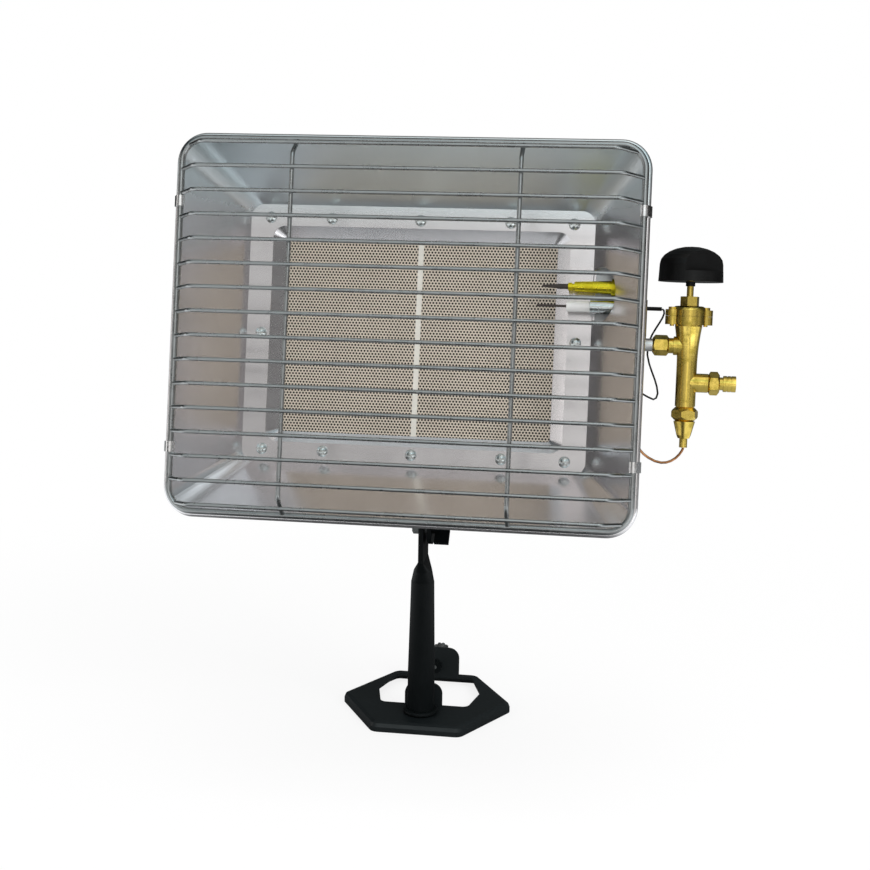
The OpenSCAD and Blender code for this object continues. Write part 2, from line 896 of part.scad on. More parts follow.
module plaque_packing() {
    color([0.9, 0.9, 0.87])
        in_head()
            upright_plate(plaque_y + 2.5, plaque_t)
                difference() {
                    rounded_rect(box_in_w - 4 * seat_gap, box_in_h - 4 * seat_gap, box_corner - burner_sheet);
                    square([plaques_w + 2 * seat_gap, plaque_h + 2 * seat_gap], center = true);
                }
}

module burner_box() {
    color([0.6, 0.6, 0.61])
        in_head()
            difference() {
                union() {
                    upright_plate(flange_y, burner_sheet)
                        rounded_rect(flange_w, flange_h, flange_corner);
                    upright_plate(flange_y, box_depth)
                        rounded_rect(box_w, box_h, box_corner);
                }
                upright_plate(flange_y - 1, box_depth + 1 - burner_sheet)
                    rounded_rect(box_in_w, box_in_h, box_corner - burner_sheet);
                screw_holes(flange_y, burner_sheet, screw_hole_r);
                rod_y(mix_r + seat_gap, box_back - 5, box_back + 1, mix_x, out_z);
                for (z = bracket_bolt_z)
                    rod_y(bracket_bolt_r + 0.1, box_back - 3, box_back + 1, bolts_x, z);
            }
}

module burner_baffle() {
    baffle_y = box_back - 11;
    inside_y = box_back - burner_sheet - seat_gap;
    color([0.55, 0.55, 0.56])
        in_head() {
            upright_plate(baffle_y, 1)
                difference() {
                    rounded_rect(0.72 * window_w, 0.66 * window_h, 4);
                    for (z = bracket_bolt_z)
                        translate([bolts_x, z])
                            circle(r = 7);
                }
            for (sx = [-1, 1], sz = [-1, 1])
                rod_y(2.5, baffle_y, inside_y, sx * 0.32 * window_w, sz * 0.28 * window_h);
        }
}

module mixing_tube() {
    color([0.65, 0.65, 0.66])
        in_head()
            difference() {
                union() {
                    rod_x(mix_r, mix_x + mix_bend, mix_end, mix_y, out_z);
                    translate([mix_x + mix_bend, box_back, out_z])
                        rotate_extrude(angle = 90, start = 90)
                            translate([mix_bend, 0])
                                circle(r = mix_r);
                    rod_y(mix_r, box_back - 4, box_back, mix_x, out_z);
                    rod_y(mix_r + 6, box_back + seat_gap, box_back + 1.5, mix_x, out_z);
                }
                rod_x(mix_r - mix_wall, mix_x + mix_bend, mix_end + 1, mix_y, out_z);
                translate([mix_x + mix_bend, box_back, out_z])
                    rotate_extrude(angle = 90, start = 90)
                        translate([mix_bend, 0])
                            circle(r = mix_r - mix_wall);
                rod_y(mix_r - mix_wall, box_back - 5, box_back, mix_x, out_z);
                rod_y(4, mix_y - 2 * mix_r, mix_y + 2 * mix_r, mix_end - 22, out_z);
                translate([mix_end - 22, mix_y, out_z - 2 * mix_r])
                    cylinder(r = 4, h = 4 * mix_r);
            }
}

module injector_holder() {
    color([0.72, 0.58, 0.25])
        in_head()
            difference() {
                union() {
                    rod_x(mix_r - mix_wall - seat_gap, mix_end - 8, mix_end + 1, mix_y, out_z);
                    translate([mix_end + seat_gap, mix_y, out_z])
                        rotate([0, 90, 0])
                            hex_bar(holder_hex + 5, holder_end - mix_end);
                    rod_x(spigot_r + 1.2, holder_end, holder_end + spigot_len, mix_y, out_z);
                }
                rod_x(2.55, mix_end - 9, holder_end, mix_y, out_z);
                rod_x(pipe_r + seat_gap, holder_end - 2, holder_end + spigot_len + 1, mix_y, out_z);
            }
}

module injector() {
    color([0.8, 0.65, 0.3])
        in_head()
            difference() {
                union() {
                    translate([mix_end - 15, mix_y, out_z])
                        rotate([0, 90, 0])
                            hex_bar(8, 7 - seat_gap);
                    rod_x(2.5, mix_end - 9, mix_end - 1, mix_y, out_z);
                }
                rod_x(0.5, mix_end - 16, mix_end, mix_y, out_z);
            }
}

// quarter bend of pipe: centre, start angle and radius of the solid section
module pipe_quarter(centre, from, r) {
    translate(centre)
        rotate_extrude(angle = 90, start = from)
            translate([pipe_bend, 0])
                circle(r = r);
}

module pipe_run(r, grow) {
    side_x = rim_w / 2 - pipe_bend;
    rod_x(r, side_x + pipe_bend, valve_x - nut_in - 4.6 + grow, valve_y, out_z);
    pipe_quarter([side_x + pipe_bend, valve_y + pipe_bend, out_z], 180, r);
    rod_y(r, valve_y + pipe_bend, mix_y - pipe_bend, side_x, out_z);
    pipe_quarter([side_x - pipe_bend, mix_y - pipe_bend, out_z], 0, r);
    rod_x(r, holder_end - 1.5 - grow, side_x - pipe_bend, mix_y, out_z);
}

module supply_pipe() {
    color([0.75, 0.75, 0.76])
        in_head()
            difference() {
                pipe_run(pipe_r, 0);
                pipe_run(pipe_in, 1);
            }
}

module injector_nut() {
    color([0.78, 0.62, 0.28])
        in_head()
            difference() {
                translate([holder_end + 1, mix_y, out_z])
                    rotate([0, 90, 0])
                        hex_bar(16, injector_nut_end - holder_end - 1);
                rod_x(spigot_r + 1.2 + run_gap, holder_end, holder_end + spigot_len + seat_gap, mix_y, out_z);
                rod_x(pipe_r + seat_gap, holder_end, injector_nut_end + 1, mix_y, out_z);
            }
}

// ---- head: gas valve ----

module lug_flange(z, h, r) {
    translate([0, 0, z])
        linear_extrude(h)
            rotate(lug_turn) {
                circle(r = r);
                two_circle_outline([-lug_out, 0], [lug_out, 0], lug_r);
            }
}

module lug_holes(z, h, r) {
    for (s = [-1, 1])
        rotate(lug_turn)
            translate([s * lug_out, 0, z])
                cylinder(r = r, h = h);
}

module valve_body() {
    color([0.72, 0.6, 0.25])
        in_head()
            at_valve()
                difference() {
                    union() {
                        rotate_extrude()
                            polygon([
                                [0, body_bottom - body_stub], [valve_r - 0.7, body_bottom - body_stub],
                                [valve_r - 0.7, body_bottom], [valve_r, body_bottom],
                                for (t = [0:0.125:1]) [
                                    valve_r + (cone_r - valve_r) * t * t,
                                    cone_low + (flange_low - 1 - cone_low) * t,
                                ],
                                [cone_r, flange_low], [0, flange_low],
                            ]);
                        lug_flange(flange_low - sliver, flange_split - flange_low, bonnet_r);
                        rod_x(inlet_r, 0, inlet_end, 0, inlet_z);
                        rod_x(spigot_r, -nut_in - 4.4, 0, 0, out_z);
                        rod_x(spigot_r + 1, -valve_r - 2.5, 0, 0, out_z);
                    }
                    translate([0, 0, body_bottom - body_stub - 1])
                        cylinder(r = valve_bore, h = 60 + body_stub);
                    rod_x(3.95, 6, inlet_end + 1, 0, inlet_z);
                    rod_x(2.5, 0, 8, 0, inlet_z);
                    rod_x(pipe_in, -nut_in - 5, 0, 0, out_z);
                    lug_holes(flange_low - 1, 8, 1.4);
                }
}

module outlet_nut() {
    color([0.85, 0.68, 0.3])
        in_head()
            translate([valve_x, valve_y, out_z])
                difference() {
                    translate([-nut_out, 0, 0])
                        rotate([0, 90, 0])
                            chamfered_hex(nut_hex, nut_out - nut_in, 1.4, 1.4);
                    rod_x(spigot_r + run_gap, -nut_in - 4.5, 0);
                    rod_x(pipe_r + seat_gap, -nut_out - 1, 0);
                }
}

module valve_bonnet() {
    low = flange_split + seat_gap;
    color([0.76, 0.62, 0.27])
        in_head()
            at_valve()
                difference() {
                    union() {
                        lug_flange(low, lug_top - low, bonnet_r - 1);
                        rotate_extrude()
                            polygon([
                                [0, low], [bonnet_r, low],
                                for (a = [0:18:90]) [
                                    bonnet_r - bonnet_edge * (1 - cos(a)),
                                    bonnet_top - bonnet_edge * (1 - sin(a)),
                                ],
                                [0, bonnet_top],
                            ]);
                        cylinder(r = 4, h = bonnet_top + 3);
                    }
                    translate([0, 0, -1])
                        cylinder(r = 5, h = 1 + low);
                    cylinder(r = stem_r + run_gap, h = bonnet_top + 4);
                    lug_holes(flange_split - 1, 8, 1.4);
                    lug_holes(lug_top, 4, 2.7);
                }
}

module bonnet_screws() {
    color([0.7, 0.58, 0.3])
        in_head()
            at_valve()
                rotate(lug_turn)
                    for (s = [-1, 1])
                        translate([s * lug_out, 0, 0]) {
                            translate([0, 0, flange_low - 1])
                                cylinder(r = 1.3, h = lug_top - flange_low + 1 + sliver);
                            difference() {
                                translate([0, 0, lug_top + sliver])
                                    cylinder(r = 2.5, h = 1.6);
                                translate([-3, -0.3, lug_top + 1])
                                    cube([6, 0.6, 2]);
                            }
                        }
}

module packing_nut() {
    color([0.8, 0.66, 0.3])
        in_head()
            at_valve()
                difference() {
                    translate([0, 0, bonnet_top + seat_gap])
                        rotate(15)
                            hex_bar(10.4, nut_top - bonnet_top - seat_gap);
                    translate([0, 0, bonnet_top - 1])
                        cylinder(r = 4 + run_gap, h = 4 + 2 * seat_gap);
                    translate([0, 0, bonnet_top])
                        cylinder(r = stem_r + run_gap, h = 10);
                }
}

module valve_stem() {
    color([0.7, 0.62, 0.3])
        in_head()
            at_valve() {
                translate([0, 0, stem_low])
                    cylinder(r = stem_r, h = knob_low + 8 - stem_low);
            }
}

module control_knob() {
    skirt_top = knob_low + knob_skirt;
    side_top = knob_low + 0.5 * knob_h;
    top = knob_low + knob_h;
    knob_r = knob_d / 2;
    color([0.09, 0.09, 0.09])
        in_head()
            at_valve()
                difference() {
                    union() {
                        translate([0, 0, neck_low])
                            cylinder(r = neck_r, h = knob_low - neck_low + 1);
                        translate([0, 0, knob_low])
                            cylinder(r1 = knob_r, r2 = knob_r - 0.3, h = knob_skirt);
                        intersection() {
                            rotate_extrude()
                                polygon([
                                    [0, knob_low], [knob_r, knob_low], [knob_r - 0.5, side_top],
                                    for (a = [15:15:75])
                                        [(knob_r - 0.5) * cos(a), side_top + (top - side_top) * sin(a)],
                                    [0, top],
                                ]);
                            rotate(grip_turn)
                                translate([-knob_r - 1, -grip_w / 2, knob_low])
                                    cube([knob_d + 2, grip_w, knob_h + 1]);
                        }
                    }
                    translate([0, 0, neck_low - 1])
                        cylinder(r = stem_r + run_gap, h = knob_low + 8 + seat_gap - neck_low + 1);
                }
}

module valve_plunger() {
    color([0.7, 0.7, 0.3])
        in_head()
            at_valve()
                translate([0, 0, stem_low - side_gap - 16])
                    cylinder(r = valve_bore - run_gap, h = 16);
}

module magnet_unit() {
    color([0.5, 0.5, 0.5])
        in_head()
            at_valve()
                translate([0, 0, body_bottom - body_stub - 4])
                    cylinder(r = valve_bore - seat_gap, h = 17);
}

module magnet_cap() {
    color([0.5, 0.55, 0.2])
        in_head()
            at_valve()
                difference() {
                    union() {
                        translate([0, 0, cap_cone])
                            rotate(15)
                                chamfered_hex(cap_hex, body_bottom - seat_gap - cap_cone, 2.6, 2.8);
                        translate([0, 0, cap_low + cap_tip])
                            cylinder(r1 = cap_tip_r, r2 = cap_cone_r, h = cap_cone - cap_low - cap_tip + sliver);
                        translate([0, 0, cap_low])
                            cylinder(r1 = cap_tip_r - 0.9, r2 = cap_tip_r, h = cap_tip);
                    }
                    translate([0, 0, body_bottom - body_stub - seat_gap])
                        cylinder(r = valve_r - 0.7 + run_gap, h = 20);
                    translate([0, 0, body_bottom - body_stub - 4 - seat_gap])
                        cylinder(r = valve_bore, h = 20);
                }
}

module lead_nut() {
    color([0.8, 0.72, 0.3])
        in_head()
            at_valve()
                translate([0, 0, lead_nut_low])
                    cylinder(r = 2.5, h = cap_low - seat_gap - lead_nut_low);
}

module hose_tail() {
    hex_start = inlet_end + seat_gap;
    hex_end = hex_start + inlet_hex_t;
    tail_start = hex_end + 2.3;
    tail_end = hex_end + tail_len;
    color([0.85, 0.72, 0.32])
        in_head()
            at_valve()
                translate([0, 0, inlet_z])
                    difference() {
                        union() {
                            rod_x(3.9, 7, hex_start + 1);
                            translate([hex_start, 0, 0])
                                rotate([0, 90, 0])
                                    chamfered_hex(inlet_hex, inlet_hex_t, 1.2, 1.2);
                            rod_x(tail_d / 2 - 1, hex_end - 1, tail_start + 1);
                            rod_x(tail_d / 2, tail_start, tail_end);
                        }
                        rod_x(2.5, 5, tail_end + 1);
                        for (x = [tail_start + 2.2:2.3:tail_end - 1])
                            translate([x, 0, 0])
                                rotate([0, 90, 0])
                                    difference() {
                                        cylinder(r = tail_d, h = 0.5);
                                        translate([0, 0, -1])
                                            cylinder(r = tail_d / 2 - 0.4, h = 3);
                                    }
                    }
}

// ---- head: probes, leads and igniter ----

module probe_bracket() {
    side = cover_x + cover_t;
    back = cover_back + cover_t;
    inner = wall_x(floor_y + dish_sheet) + side_gap;
    color([0.5, 0.5, 0.5])
        in_head()
            difference() {
                union() {
                    translate([cover_x, cover_front, cover_low])
                        cube([cover_t, back - cover_front, cover_high - cover_low]);
                    translate([inner, cover_back, cover_low])
                        cube([side - inner, cover_t, cover_high - cover_low]);
                    for (z = [cover_low, cover_high - cover_t])
                        translate([0, 0, z])
                            linear_extrude(cover_t)
                                polygon([
                                    [side, cover_front], [wall_x(cover_front) + side_gap, cover_front],
                                    [inner, floor_y + dish_sheet], [inner, back], [side, back],
                                ]);
                }
                rod_x(thermo_shank + seat_gap, cover_x - 1, cover_x + 3, probe_y, thermo_z);
                rod_x(ceramic_r + seat_gap, cover_x - 1, cover_x + 3, probe_y, spark_z);
            }
}

module thermocouple() {
    color([0.4, 0.38, 0.36])
        in_head() {
            translate([thermo_tip, probe_y, thermo_z])
                rotate([0, 90, 0])
                    cylinder(r1 = 0.7, r2 = 1.4, h = 10);
            rod_x(1.7, thermo_tip + 9.8, cover_x + 4.2, probe_y, thermo_z);
        }
}

module thermocouple_holder() {
    start = thermo_tip + 16.6;
    cone = start + 4;
    flange = cover_x - seat_gap - 3.6;
    color([0.85, 0.72, 0.15])
        in_head()
            difference() {
                union() {
                    rod_x(2.6, start, start + 2.5, probe_y, thermo_z);
                    rod_x(2, start + 2, cone + 1, probe_y, thermo_z);
                    translate([cone, probe_y, thermo_z])
                        rotate([0, 90, 0])
                            cylinder(r1 = thermo_cone[0], r2 = thermo_cone[1], h = flange + 0.5 - cone);
                    rod_x(thermo_flange_r, flange, cover_x - seat_gap, probe_y, thermo_z);
                    rod_x(thermo_shank, flange + 2, cover_x + cover_t + 2.6, probe_y, thermo_z);
                }
                rod_x(1.8, start - 1, cover_x + 6, probe_y, thermo_z);
            }
}

module thermocouple_nut() {
    color([0.75, 0.62, 0.3])
        in_head()
            difference() {
                translate([cover_x + cover_t + seat_gap, probe_y, thermo_z])
                    rotate([0, 90, 0])
                        hex_bar(8.5, 2.4);
                rod_x(thermo_shank + run_gap, cover_x, cover_x + 6, probe_y, thermo_z);
            }
}

module thermocouple_lead() {
    color([0.72, 0.42, 0.25])
        in_head()
            lead(copper_route, copper_r);
}

module electrode_rod() {
    color([0.2, 0.2, 0.2])
        in_head()
            rod_x(0.8, spark_tip, cover_x + 6.6, probe_y, spark_z);
}

module electrode_ceramic() {
    color([0.93, 0.92, 0.9])
        in_head()
            difference() {
                rod_x(ceramic_r, cover_x - ceramic_in, cover_x + 5, probe_y, spark_z);
                rod_x(0.9, cover_x - ceramic_in - 1, cover_x + 6, probe_y, spark_z);
            }
}

module electrode_holder() {
    color([0.6, 0.58, 0.55])
        in_head()
            difference() {
                union() {
                    rod_x(ferrule_r, cover_x - ferrule_in, cover_x - seat_gap, probe_y, spark_z);
                    rod_x(ferrule_r + 1.2, cover_x - seat_gap - 1.5, cover_x - seat_gap, probe_y, spark_z);
                }
                rod_x(ceramic_r + seat_gap, cover_x - ferrule_in - 1, cover_x + 1, probe_y, spark_z);
            }
}

module igniter_sleeve() {
    color([0.06, 0.06, 0.06])
        in_head()
            difference() {
                rod_x(sleeve_r, cover_x + 5.2, sleeve_end, probe_y, spark_z);
                rod_x(0.9, cover_x + 4, sleeve_end + 1, probe_y, spark_z);
            }
}

module igniter_lead() {
    color([0.06, 0.06, 0.06])
        in_head()
            lead(igniter_route, lead_r);
}

module lead_bracket() {
    leg_y = flange_y + burner_sheet + seat_gap;
    color([0.16, 0.12, 0.12])
        in_head()
            difference() {
                union() {
                    translate([strip_x, strip_front, strip_low])
                        cube([strip_t, leg_y + strip_t - strip_front, strip_high - strip_low]);
                    translate([box_w / 2 + 1, leg_y, strip_low])
                        cube([strip_x + strip_t - box_w / 2 - 1, strip_t, strip_high - strip_low]);
                }
                rod_x(sleeve_r + seat_gap, strip_x - 1, strip_x + strip_t + 1, probe_y, spark_z);
            }
}

module igniter_bracket() {
    leg_x = box_w / 2 + seat_gap;
    color([0.5, 0.5, 0.5])
        in_head()
            difference() {
                union() {
                    translate([leg_x, piezo_front, piezo_z - 12])
                        cube([piezo_plate_t, piezo_plate_y + piezo_plate_t - piezo_front, 24]);
                    translate([leg_x, piezo_plate_y, piezo_z - 12])
                        cube([piezo_x + 13 - leg_x, piezo_plate_t, 24]);
                }
                rod_y(piezo_r + seat_gap, piezo_plate_y - 1, piezo_plate_y + 3, piezo_x, piezo_z);
            }
}

module piezo_body() {
    color([0.1, 0.1, 0.1])
        in_head()
            difference() {
                union() {
                    rod_y(2.2, piezo_front, piezo_front + 5, piezo_x, piezo_z);
                    rod_y(piezo_r, piezo_front + 4, piezo_back + 1, piezo_x, piezo_z);
                    rod_y(piezo_r + 3, piezo_back, piezo_back + 2, piezo_x, piezo_z);
                }
                rod_y(button_r + run_gap, piezo_back - button_in - 6.5, piezo_back + 3, piezo_x, piezo_z);
            }
}

module piezo_nut() {
    color([0.12, 0.12, 0.12])
        in_head()
            difference() {
                translate([piezo_x, piezo_plate_y - seat_gap - 3.5, piezo_z])
                    rotate([-90, 0, 0])
                        hex_bar(21, 3.5);
                rod_y(piezo_r + seat_gap, piezo_plate_y - 5, piezo_plate_y + 1, piezo_x, piezo_z);
            }
}

module piezo_button() {
    color([0.7, 0.08, 0.06])
        in_head()
            rod_y(button_r, piezo_back - button_in, piezo_back + button_out, piezo_x, piezo_z);
}

base_plate();
post_collar();
post_tube();
post_foot_plug();
clamp_nut();
tilt_bolt();
tilt_washer();
clamp_pad();
clamp_screw();
wing_nut();
tilt_bracket();
bracket_bolts();
reflector();
reflector_screws();
guard_frame();
guard_cross_wires();
guard_upright_wires();
guard_clips();
burner_frame();
plaque_left();
plaque_right();
plaque_joint();
plaque_packing();
burner_box();
burner_baffle();
mixing_tube();
injector_holder();
injector();
supply_pipe();
injector_nut();
outlet_nut();
valve_body();
valve_bonnet();
bonnet_screws();
packing_nut();
valve_stem();
control_knob();
valve_plunger();
magnet_unit();
magnet_cap();
lead_nut();
hose_tail();
probe_bracket();
thermocouple();
thermocouple_holder();
thermocouple_nut();
thermocouple_lead();
electrode_rod();
electrode_ceramic();
electrode_holder();
igniter_sleeve();
igniter_lead();
lead_bracket();
igniter_bracket();
piezo_body();
piezo_nut();
piezo_button();
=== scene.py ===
import json
import math

import bpy
from mathutils import Matrix, Vector

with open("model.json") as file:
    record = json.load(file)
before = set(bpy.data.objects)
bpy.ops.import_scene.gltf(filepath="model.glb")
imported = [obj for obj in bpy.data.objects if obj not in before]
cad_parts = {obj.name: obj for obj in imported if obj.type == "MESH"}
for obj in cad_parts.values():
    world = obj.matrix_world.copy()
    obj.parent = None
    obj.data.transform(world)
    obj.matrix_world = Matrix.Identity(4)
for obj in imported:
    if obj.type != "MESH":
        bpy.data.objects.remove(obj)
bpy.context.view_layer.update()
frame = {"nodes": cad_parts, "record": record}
nodes = frame["nodes"]
print("frame loaded:", len(nodes), "nodes")

mm = 0.001
noiseRange = (0.3, 0.7)  # nearly all values of a noise texture lie in here

# The head leans back about the tilt bolt. Head coordinates have their origin at the middle of the
# rim plane, X to the right, Y into the dish and Z up.
head = {
    "lean": math.radians(11),
    "hinge": Vector((0, 0, 145)),
    "offset": Vector((-4, -104, 125)),
}


class Wire:  # one output socket, so that shader maths reads as plain sums
    def __init__(self, web, socket):
        self.web = web
        self.socket = socket

    def __add__(self, other):
        return self.web.maths("ADD", self, other)

    def __sub__(self, other):
        return self.web.maths("SUBTRACT", self, other)

    def __mul__(self, other):
        return self.web.maths("MULTIPLY", self, other)

    def __truediv__(self, other):
        return self.web.maths("DIVIDE", self, other)

    def __pow__(self, other):
        return self.web.maths("POWER", self, other)

    def __mod__(self, other):
        return self.web.maths("FLOORED_MODULO", self, other)

    def __radd__(self, other):
        return self.web.maths("ADD", other, self)

    def __neg__(self):
        return self.web.maths("MULTIPLY", self, -1.0)


class Web:  # a node tree that is being built
    def __init__(self, tree):
        self.tree = tree

    def add(self, kind, settings=None, inputs=None, output=0):
        node = self.tree.nodes.new(kind)
        for key, value in (settings or {}).items():
            if key == "stops":
                ramp = node.color_ramp
                while len(ramp.elements) < len(value):
                    ramp.elements.new(0.5)
                for element, (place, tint) in zip(ramp.elements, value):
                    element.position = place
                    element.color = (*tint, 1) if isinstance(tint, tuple) else (tint, tint, tint, 1)
            else:
                setattr(node, key, value)
        for key, value in (inputs or {}).items():
            self.join(value, node.inputs[key])
        return Wire(self, node.outputs[output]) if output is not None else node

    def join(self, value, target):
        if isinstance(value, Wire):
            self.tree.links.new(value.socket, target)
        elif isinstance(value, tuple) and len(value) == 3 and target.type == "RGBA":
            target.default_value = (*value, 1)
        else:
            target.default_value = value

    def maths(self, operation, a, b=0.0):
        return self.add("ShaderNodeMath", {"operation": operation}, {0: a, 1: b})

    def axis(self, spot, letter):
        return self.add("ShaderNodeSeparateXYZ", inputs={0: spot}, output="XYZ".index(letter))

    def ramp(self, value, stops):
        return self.add("ShaderNodeValToRGB", {"stops": stops}, {0: value})

    def span(self, value, low, high, toLow=0.0, toHigh=1.0):
        return self.add(
            "ShaderNodeMapRange",
            {"interpolation_type": "SMOOTHSTEP", "clamp": True},
            {0: value, 1: low, 2: high, 3: toLow, 4: toHigh},
        )

    def mix(self, factor, a, b):
        return self.add("ShaderNodeMix", {"data_type": "RGBA"}, {0: factor, 6: a, 7: b}, output=2)

    def ray(self, kind):  # 1 for rays of this kind, such as camera or glossy rays
        path = self.add("ShaderNodeLightPath", output=None)
        return Wire(self, path.outputs["Is " + kind + " Ray"])


class Finish(Web):  # one material while it is being built
    def __init__(self, name, color, roughness, metallic=0.0, **uniform):
        self.material = bpy.data.materials.new(name)
        self.material.use_nodes = True
        super().__init__(self.material.node_tree)
        self.shader = self.tree.nodes["Principled BSDF"]
        self.put("Base Color", color)
        self.put("Roughness", roughness)
        self.put("Metallic", metallic)
        for key, value in uniform.items():
            self.put(key.replace("_", " "), value)
        self.material.diffuse_color = (*color, 1)

    def put(self, name, value):
        self.join(value, self.shader.inputs[name])

    def place(self):  # position on the piece in millimetres
        spot = self.add("ShaderNodeTexCoord", output=3)
        return self.add("ShaderNodeVectorMath", {"operation": "SCALE"}, {0: spot, "Scale": 1 / mm})

    def headPlace(self):  # position in the head's own frame in millimetres
        unlean = Matrix.Rotation(head["lean"], 4, "X")
        shift = -(head["offset"] + unlean @ head["hinge"])
        return self.add(
            "ShaderNodeMapping",
            {"vector_type": "POINT"},
            {"Vector": self.place(), "Rotation": (head["lean"], 0, 0), "Location": tuple(shift)},
        )

    def stretched(self, spot, scales):
        return self.add("ShaderNodeVectorMath", {"operation": "MULTIPLY"}, {0: spot, 1: scales})

    def noise(self, spot, scale, detail=2.0, roughness=0.5):
        settings = {"Vector": spot, "Scale": scale, "Detail": detail, "Roughness": roughness}
        return self.add("ShaderNodeTexNoise", {}, settings)

    def tones(self, factor, color, low, high):  # the colour between two of its shades
        self.put("Base Color", self.mix(factor, shade(color, low), shade(color, high)))

    def bump(self, height, strength, depth):
        settings = {"Height": height, "Strength": strength, "Distance": depth * mm}
        self.put("Normal", self.add("ShaderNodeBump", {}, settings))

    def skin(self, spot, scale, strength, depth, detail=2.0):  # a fine bump from noise
        self.bump(self.noise(spot, scale, detail), strength, depth)

    def patches(self, noise, smooth, dull):  # roughness that follows a noise
        self.put("Roughness", self.span(noise, *noiseRange, smooth, dull))


def shade(color, factor):
    return tuple(min(1.0, c * factor) for c in color)


# In the dictionaries tones are the shades of the colour at the two ends of its noise, and two
# roughnesses are the smoothest and the dullest spots. A noise is given as scale, detail and
# roughness, a relief as strength and depth in mm, and a skin or wave as scale, strength, depth and,
# where it isn't 2, detail.

stainless = {
    "color": (0.79, 0.765, 0.775),
    "tones": (0.93, 1.06),
    "metallic": 0.98,
    "roughness": 0.2,
    "cloud": (0.03, 3.0, 0.55),
    "cloudy": 0.08,  # how far the clouds change the roughness
    "lines": (0.015, 0.3, 0.35),  # stretches a noise into the lines of rolling
    "streaky": 0.06,  # how far the lines change it
    "wave": (0.012, 0.35, 0.6),
    # a bluer tint painted on the upper wall stands in for the teal it reflects there, a painted reflection;
    # the same mask adds a little haze to the roughness
    "paintedReflectionTint": (0.74, 0.79, 0.805),
    "paintedReflectionHeight": (68, 96),
    "haze": 0.12,
}


def makeStainless():
    steel = stainless
    look = Finish("stainless", steel["color"], steel["roughness"], steel["metallic"])
    spot = look.headPlace()
    lines = look.noise(look.stretched(spot, steel["lines"]), 1.0)
    cloud = look.noise(spot, *steel["cloud"])
    low, high = steel["tones"]
    sheet = look.mix(cloud, shade(steel["color"], low), shade(steel["color"], high))
    # painted reflection: the wall turns bluer towards the top
    paintedReflectionTint = look.span(look.axis(spot, "Z"), *steel["paintedReflectionHeight"])
    look.put("Base Color", look.mix(paintedReflectionTint, sheet, steel["paintedReflectionTint"]))
    uneven = (lines - 0.5) * steel["streaky"] + (cloud - 0.5) * steel["cloudy"]
    look.put("Roughness", steel["roughness"] + paintedReflectionTint * steel["haze"] + uneven)
    look.skin(spot, *steel["wave"])
    return look.material


guardWire = {
    "color": (0.36, 0.37, 0.37), "tones": (0.8, 1.25), "roughness": (0.22, 0.36),
    "cloud": (0.08, 3.0, 0.6), "skin": (0.6, 0.15, 0.2),
}
zinc = {
    "color": (0.66, 0.69, 0.68), "tones": (0.8, 1.15), "roughness": (0.12, 0.28),
    "cloud": (0.35, 3.0, 0.6), "skin": (1.2, 0.1, 0.1),
}
pipeAlloy = {
    "color": (0.7, 0.7, 0.69), "tones": (0.82, 1.12), "roughness": (0.24, 0.4),
    "cloud": (0.1, 3.0, 0.6), "skin": (0.4, 0.1, 0.2),
}
blackPlastic = {
    "color": (0.003, 0.003, 0.003), "tones": (0.85, 1.25), "roughness": (0.31, 0.44),
    "cloud": (0.12, 3.0, 0.5), "skin": (3.2, 0.12, 0.08),
}
redPlastic = {
    "color": (0.5, 0.02, 0.012), "tones": (0.85, 1.25), "roughness": (0.23, 0.36),
    "cloud": (0.12, 3.0, 0.5), "skin": (3.2, 0.05, 0.08),
}
blackRubber = {
    "color": (0.012, 0.012, 0.012), "tones": (0.85, 1.25), "roughness": (0.55, 0.68),
    "cloud": (0.12, 3.0, 0.5), "skin": (3.2, 0.2, 0.08),
}


def makeClouded(name, finish, metallic=1.0, **uniform):  # clouds in colour and roughness on a fine skin
    look = Finish(name, finish["color"], finish["roughness"][0], metallic, **uniform)
    spot = look.place()
    cloud = look.noise(spot, *finish["cloud"])
    look.tones(cloud, finish["color"], *finish["tones"])
    look.patches(cloud, *finish["roughness"])
    look.skin(spot, *finish["skin"])
    return look.material


plasticSheen = 0.22


def makePlastic(name, finish):
    return makeClouded(name, finish, 0.0, Specular_IOR_Level=plasticSheen)


clipSteel = {
    "color": (0.86, 0.85, 0.85), "roughness": (0.16, 0.3),
    "cloud": (0.5, 3.0), "skin": (0.2, 0.2, 0.3),
}


def makeClipSteel():
    look = Finish("clipSteel", clipSteel["color"], clipSteel["roughness"][0], 1.0)
    spot = look.place()
    look.patches(look.noise(spot, *clipSteel["cloud"]), *clipSteel["roughness"])
    look.skin(spot, *clipSteel["skin"])
    return look.material


galvanised = {
    "color": (0.5, 0.51, 0.52), "tones": (0.9, 1.1), "roughness": (0.34, 0.5),
    "flakes": 0.16, "skin": (0.5, 0.12, 0.2, 3.0),
}


def makeGalvanised():
    look = Finish("galvanised", galvanised["color"], galvanised["roughness"][0], 1.0)
    spot = look.place()
    flakes = look.add("ShaderNodeTexVoronoi", {}, {"Vector": spot, "Scale": galvanised["flakes"]}, output=1)
    grain = look.add("ShaderNodeSeparateColor", inputs={0: flakes})
    look.tones(grain, galvanised["color"], *galvanised["tones"])
    look.put("Roughness", look.span(grain, 0.0, 1.0, *galvanised["roughness"]))
    look.skin(spot, *galvanised["skin"])
    return look.material


plaque = {
    "clay": (0.66, 0.585, 0.49),
    "tones": (0.88, 1.1),
    "cloud": (0.035, 3.0, 0.6),
    # painted shade: the holes get a near-black colour for the shade inside them
    "shadedHole": (0.035, 0.03, 0.024),
    "pitch": 2.14,  # between the middles of neighbouring holes
    "radius": 0.69,
    "blur": 0.13,  # half the width of a hole's edge
    "grit": (2.5, 0.15),  # scale and height, beside the depth of a hole
    "relief": (0.8, 0.5),
    "roughness": 0.85,
    "sheen": 0.2,
}


